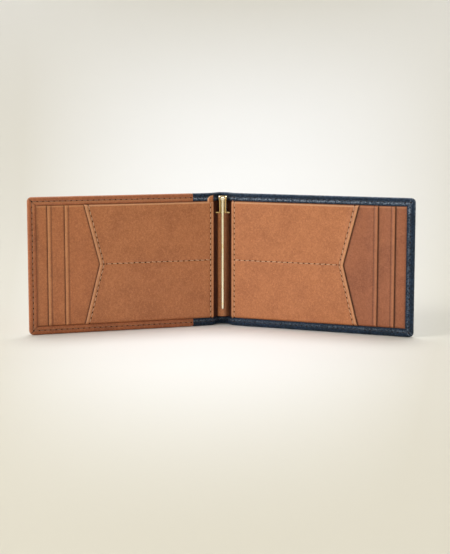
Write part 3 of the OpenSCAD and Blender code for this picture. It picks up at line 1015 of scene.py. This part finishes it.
def panel_inside(panel):
    """The lining, the two card slots, the pocket and their stitches."""
    slot_tan = SLOT_TAN if panel is LEFT else DEEP_SLOT_TAN
    for kind, name in (("lining", "_slot_lining"), ("slot_1", "_card_slot_1"), ("slot_2", "_card_slot_2")):
        Leaf(panel, kind).build(panel.name + name, slot_tan, "slot_leather")
    pocket = Leaf(panel, "pocket")
    pocket.build(panel.name + "_cut_pocket", POCKET_TAN, "pocket_leather")
    pocket_stitches(panel, pocket)


def corner_lap():
    """The left pocket's corner by the spine, which laps up over the navy border and curls at its end."""
    reach, wide, thick, tuck = 3.4 * MM, 3.5 * MM, 0.5 * MM, 0.5 * MM
    base = WALLET_H - TURN_W - tuck
    start = INNER_START + 0.1 * MM
    rounding = 0.3          # where along its reach it begins to narrow
    rest = POCKET_TOP - 0.5 * MM
    climb = BORDER_TOP - POCKET_TOP + 0.45 * MM
    tops, bottoms = [], []
    for t in spread(0.0, 1.0, 0.08):
        z = base + (reach + tuck) * t
        narrow = max(t - rounding, 0) / (1 - rounding)
        width = wide * math.sqrt(max(1 - narrow ** 2, 0.0))
        upper, lower = [], []
        for u in spread(0.0, 1.0, 0.1):
            s = start + width * u
            d = rest + climb * smooth(t * 1.8) + 0.4 * MM * t * t + 0.25 * MM * u * t
            crown = thick * (1 - max(abs(2 * u - 1), t) ** 4) + 0.06 * MM
            # A painted highlight lightens the rim, and painted shade darkens the underside.
            rim = smooth((max(u, t) - 0.72) / 0.2)
            upper.append((LEFT.place(s, d + crown, z), rim, 0.0))
            lower.append((LEFT.place(s, d, z), 0.0, 0.9))
        tops.append(upper)
        bottoms.append(lower)
    shape = Shape()
    shape.wrap(tops, bottoms, sides=True)
    piece = shape.finish("left_pocket_corner", [POCKET_TAN], sharp=60)
    on_panel(piece, LEFT, "pocket_leather")


# ---------------- spine lining and the clip's leather tab

SPINE_LINING_T = 0.35 * MM


def spine_lining():
    """Brown leather inside the spine, in two halves that meet behind the tab."""
    for path in (RIGHT_PATH, LEFT_PATH):
        shape = Shape()
        columns = spread(0, path.q_at(INNER_START + 0.6 * MM), 0.4 * MM)
        heights = spread(RIM_W, WALLET_H - RIM_W, 1.6 * MM)

        def row(z, depth):
            return [path.place(q, COVER_IN + depth + 0.02 * MM, z) for q in columns]

        shape.wrap([row(z, SPINE_LINING_T) for z in heights], [row(z, 0.0) for z in heights], sides=True)
        piece = shape.finish("spine_lining_" + path.panel.name, [SPINE_BROWN])
        round_spine(piece, path, "dark_lining", "spine_lining")


def clip_tab():
    """The rounded leather sleeve that holds the clip."""
    low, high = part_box("clip_tab")
    half = high.x - 0.2 * MM
    front = low.y
    front_r = 6.2 * MM
    ease, end_round, end_inset = 0.8 * MM, 0.7 * MM, 0.25 * MM     # its lower end is rounded over
    gap = 0.06 * MM
    columns = [half * math.sin(math.pi / 2 * i / 12) for i in range(-12, 13)]

    def fronts(x, z):
        curve = front + front_r - math.sqrt(front_r ** 2 - x * x)
        end = max(0.0, 1 - (z - low.z) / ease)
        return curve + end_round * (1 - math.sqrt(max(0.0, 1 - end * end)))

    def backs(x):
        return RIGHT_PATH.y_behind(x, COVER_IN + SPINE_LINING_T + gap)

    heights = [low.z + step * MM for step in (0, 0.05, 0.15, 0.3, 0.5, 0.8, 1.2)]
    heights += spread(low.z + 2 * MM, high.z, 2 * MM)
    tops, bottoms = [], []
    for z in heights:
        inset = end_inset * max(0.0, 1 - (z - low.z) / ease) ** 2
        squeeze = (half - inset) / half
        upper, lower = [], []
        for x in columns:
            side = smooth((abs(x) / half - 0.8) / 0.2)
            face, back = fronts(x, z), backs(x)
            middle = (face + back) / 2
            # Painted shadow of the arm darkens the right half of the front, painted shade its far left side,
            # and painted shade its back.
            arm_shadow = 0.75 * smooth(1.3 * x / half)
            far_side_shade = 0.95 * smooth((-x / half - 0.66) / 0.2)
            painted_shadow = arm_shadow + far_side_shade
            upper.append((Vector((x * squeeze, face + (middle - face) * side, z)), 0.0, painted_shadow))
            lower.append((Vector((x * squeeze, back + (middle - back) * side, z)), 0.0, 0.5))
        tops.append(upper)
        bottoms.append(lower)
    shape = Shape()
    shape.wrap(tops, bottoms)
    piece = shape.finish("clip_sleeve", [SLEEVE_TAN], sharp=60)
    on_body(piece, "spine", "pocket_leather", "clip_tab")


# ---------------- brass note clip

def revolve(shape, profile, centre, axis, sides=28):
    """A turned form: profile is (along, radius) pairs about an axis through centre."""
    turn = Vector((0, 0, 1)).rotation_difference(Vector(axis)).to_matrix()
    shape.tube([[turn @ Vector((radius * cos, radius * sin, along)) + centre for cos, sin in circle(sides)]
                for along, radius in profile])


def clip_bracket():
    """Back web with two shoulders, and two cheeks whose tops flare out."""
    low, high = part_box("clip_bracket")
    pin_low, pin_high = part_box("clip_pin")
    half = pin_high.x
    web_t = 0.8 * MM
    web_front = high.y - web_t
    shoulder_h = 0.8 * MM
    cheek_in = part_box("clip_arm")[1].x + 0.3 * MM
    waist = half - 0.25 * MM
    shoulder_z = low.z + shoulder_h
    right_side = [(high.x, low.z), (high.x, low.z + shoulder_h * 0.7), (high.x - 0.35 * MM, shoulder_z),
                  (waist, shoulder_z), (waist, high.z - 2.6 * MM), (half, high.z)]
    left_side = [(-x, z) for x, z in reversed(right_side)]
    web = left_side[-1:] + right_side + left_side[:-1]
    shape = Shape()
    # The web is darkened with painted shade, in the patina colour.
    shape.tube([[(Vector((x, y, z)), 0.0, 0.7) for x, z in web] for y in (web_front, high.y)])
    pivot_z = (pin_low.z + pin_high.z) / 2
    pivot_y = (pin_low.y + pin_high.y) / 2
    nose_r = pivot_y - low.y
    # heights, and how far back a cheek's edge lies there, as a part of nose_r
    levels = [(low.z, 1.1), (low.z + 2 * MM, 1.0), (pivot_z - 3.2 * MM, 0.45), (pivot_z - 1.6 * MM, 0.08),
              (pivot_z, 0.0), (high.z - 0.9 * MM, 0.06), (high.z - 0.35 * MM, 0.3), (high.z, 0.8)]
    for side in (-1, 1):
        rings = []
        for z, back in levels:
            flare = 0.45 * MM * smooth((z - high.z + 3.4 * MM) / (3.4 * MM))
            outer = waist + flare * 0.75
            inner = cheek_in + flare * 0.35
            nose = low.y + back * nose_r
            ring = [(inner, web_front), (inner, nose + 0.25 * MM), (inner + 0.25 * MM, nose),
                    (outer - 0.3 * MM, nose), (outer, nose + 0.3 * MM), (outer, web_front)]
            # Each cheek is darkened with painted shade below its flared top, which stays bright.
            dimmed = 0.85 - 0.7 * smooth((z - high.z + 1.2 * MM) / (1.0 * MM))
            rings.append([(Vector((side * x, y, z)), 0.0, dimmed) for x, y in ring])
        shape.tube(rings)
    piece = shape.finish("brass_bracket", [BRASS], sharp=35)
    bevel(piece, 0.12 * MM)
    on_body(piece, "spine", "brass", "clip_bracket")


def clip_pin():
    """The hinge pin, with a peened head on each cheek."""
    low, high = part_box("clip_pin")
    radius = (high.z - low.z) / 2
    half = high.x - 0.05 * MM
    head = radius * 1.25
    right_end = [(half - 0.06 * MM, radius), (half - 0.02 * MM, head),
                 (half + 0.08 * MM, head * 0.8), (half + 0.12 * MM, head * 0.35)]
    left_end = [(-x, r) for x, r in reversed(right_end)]
    shape = Shape()
    revolve(shape, left_end + right_end, (low + high) / 2, (1, 0, 0))
    piece = shape.finish("hinge_pin", [STEEL], sharp=40)
    on_body(piece, "spine", "steel", "clip_pin")


def clip_arm():
    """The swinging arm: an eye on the pin and a half-round bar with a round tip."""
    low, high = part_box("clip_arm")
    pin_low, pin_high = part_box("clip_pin")
    pivot = (pin_low + pin_high) / 2
    half = high.x
    eye_r = high.z - pivot.z
    bore_r = (pin_high.z - pin_low.z) / 2 + 0.05 * MM
    arm_t = 1.2 * MM
    ease = 0.18 * MM
    shape = Shape()
    corner = half - ease
    eye_section = [(-corner, bore_r), (-half, bore_r + ease), (-half, eye_r - ease), (-corner, eye_r),
                   (corner, eye_r), (half, eye_r - ease), (half, bore_r + ease), (corner, bore_r)]
    turns = circle(40)
    shape.patch([[Vector((x, pivot.y + r * cos, pivot.z + r * sin)) for x, r in eye_section]
                 for cos, sin in turns + turns[:1]], around=True)

    levels = [low.z + half * (1 - math.cos(math.pi / 2 * k / 7)) for k in range(8)]
    levels += spread(low.z + 2 * MM, pivot.z - eye_r * 0.55, 3 * MM)
    flat_share = 0.35       # part of the bar's depth that lies behind its middle
    back_y = low.y + arm_t
    rings = []
    for z in levels:
        up = min((z - low.z) / half, 1.0)
        width = half * math.sqrt(max(1 - (1 - up) ** 2, 0.0016))
        depth = arm_t * (flat_share + (1 - flat_share) * math.sqrt(max(1 - (1 - up) ** 2, 0.0)))
        ring = []
        for across, rise in circle(20):
            x = width * math.copysign(abs(across) ** 0.6, across)
            crown = 1 - flat_share if rise > 0 else flat_share
            y = back_y - depth * flat_share - depth * crown * math.copysign(abs(rise) ** 0.8, rise)
            # The bar's rounded sides are darkened with painted shade.
            dimmed = 0.8 * smooth((abs(across) - 0.75) / 0.25)
            ring.append((Vector((x, y, z)), 0.0, dimmed))
        rings.append(ring)
    shape.tube(rings)
    piece = shape.finish("brass_arm", [BRASS], sharp=40)
    on_body(piece, "clip_arm", "brass", "clip_arm")


def clip_rivets():
    """Two domed rivets through the web and the plate's neck."""
    low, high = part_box("clip_rivets")
    head_r = high.x
    # depth in mm and radius as a part of the head's
    front_dome = [(0.02, 0.2), (0.06, 0.6), (0.16, 0.9), (0.26, 1.0), (0.4, 0.6)]
    dome = [(low.y + depth * MM, head_r * share) for depth, share in front_dome]
    dome += [(high.y - 0.2 * MM, head_r * 0.6), (high.y - 0.18 * MM, head_r), (high.y, head_r * 0.8)]
    shape = Shape()
    for z in (low.z + head_r, high.z - head_r):
        revolve(shape, dome, Vector((0, 0, z)), (0, 1, 0), sides=24)
    piece = shape.finish("clip_rivet_pair", [BRASS], sharp=45)
    on_body(piece, "spine", "brass", "clip_rivets")


def hidden_parts():
    """CAD pieces that keep their shape, with a material and broken edges."""
    for node, material in (("clip_base_plate", STEEL), ("clip_spring", STEEL),
                           ("left_stiffener", BOARD), ("right_stiffener", BOARD)):
        piece = frame["nodes"][node]
        piece.data.materials.clear()
        piece.data.materials.append(material)
        bevel(piece, 0.05 * MM, 2)


# ---------------- stage

def paper_finish():
    """Off-white paper with painted light: pale in a patch that widens behind the wallet, and cream in front
    and beside it, as painted falloff of the light.
    """
    paper = Finish("paper_with_painted_light", {"Roughness": 0.95})
    spot = paper.place()
    fibre = paper.clouds(spot, 0.5, 2)
    front = paper.step(paper.along(spot, (0, -1, 0)), 0.04, 0.42)
    up = paper.step(paper.along(spot, (0, 0, 1)), 0.02, 0.46)
    half_patch = paper.math("MAXIMUM", paper.along(spot, (0, 0.17, 0)) + 0.13, 0.05)
    aside = paper.math("MINIMUM", (paper.along(spot, (1, 0, 0)) / half_patch) ** 2, 1.0)
    # Painted falloff of the light: cream away from the pale patch behind the wallet.
    fall = front + up * (0.88 - aside * 0.5) + aside * (1 - up) * (1 - front) * 0.75
    pale = paper.mix(colour(243, 243, 243), colour(247, 247, 247), fibre)
    paper.feed("Base Color", paper.mix(pale, colour(207, 202, 187), fall))
    return paper.material


def studio_floor():
    """A round floor that curves up slowly into a far rim, so that no horizon shows."""
    flat_r, rim_r, rim_h = 0.5, 3.2, 2.2
    profile = [(0.002, 0.0), (flat_r / 2, 0.0), (flat_r, 0.0)]
    for t in spread(0, 1, 1 / 32)[1:]:
        profile.append((flat_r + (rim_r - flat_r) * t, rim_h * t ** 2.4))
    shape = Shape()
    rings = shape.patch([[Vector((r * cos, r * sin, z - 0.05 * MM)) for cos, sin in circle(96)]
                         for r, z in profile], around=True)
    shape.face(rings[0])
    floor = shape.finish("studio_floor", [paper_finish()])


def soft_light(name, spot, target, size, power, tint):
    """A square soft box that shines from spot to target."""
    data = bpy.data.lights.new(name, "AREA")
    data.shape = "SQUARE"
    data.size = size
    data.energy = power
    data.color = tint
    lamp = linked(name, data)
    lamp.location = spot
    lamp.rotation_mode = "QUATERNION"
    lamp.rotation_quaternion = (Vector(target) - Vector(spot)).to_track_quat("-Z", "Y")
    lamp.visible_camera = False


def far_light(name, tilt, energy):
    """A broad even light from above, turned this many degrees to shine towards the wallet's front."""
    data = bpy.data.lights.new(name, "SUN")
    data.energy = energy
    data.angle = math.radians(35)
    data.color = (1.0, 1.0, 0.99)
    sun = linked(name, data)
    sun.rotation_euler = (math.radians(-tilt), 0, 0)


def studio():
    """A warm soft box on the left, two broad lights from above and behind, and a pale surrounding."""
    soft_light("key_light", spot=(-1.6, -0.8, 0.7), target=(0, 0, 0.04), size=0.7, power=18.0,
               tint=(1.0, 0.99, 0.97))
    far_light("top_light", tilt=14, energy=1.8)
    far_light("back_light", tilt=65, energy=0.6)
    world = bpy.data.worlds.new("studio_air")
    world.use_nodes = True
    air = world.node_tree.nodes["Background"]
    air.inputs["Color"].default_value = (1.0, 0.997, 0.985, 1)
    air.inputs["Strength"].default_value = 0.34
    bpy.context.scene.world = world


def camera():
    """The camera, a little above and to the right, looking at the middle of the open wallet."""
    target = Vector((0, -21.4, 39)) * MM
    distance = 770.7 * MM
    azimuth = math.radians(1.936)
    elevation = math.radians(7.089)
    back = Vector((math.sin(azimuth) * math.cos(elevation), -math.cos(azimuth) * math.cos(elevation),
                   math.sin(elevation)))
    data = bpy.data.cameras.new("camera")
    data.sensor_width = 36
    data.lens = 87.1
    data.shift_x = 0.0058
    data.shift_y = -0.0265
    data.clip_start = 0.05
    data.clip_end = 20
    made = linked("camera", data)
    made.location = target + back * distance
    made.rotation_mode = "QUATERNION"
    made.rotation_quaternion = (-back).to_track_quat("-Z", "Y")
    bpy.context.scene.camera = made


# ---------------- the whole wallet

camera()
studio()
studio_floor()
tan_cover()
navy_cover()
for one_panel in (LEFT, RIGHT):
    panel_inside(one_panel)
corner_lap()
cover_stitches()
spine_lining()
clip_tab()
clip_bracket()
clip_pin()
clip_arm()
clip_rivets()
hidden_parts()

bpy.context.scene.view_settings.view_transform = "Standard"
bpy.context.view_layer.update()
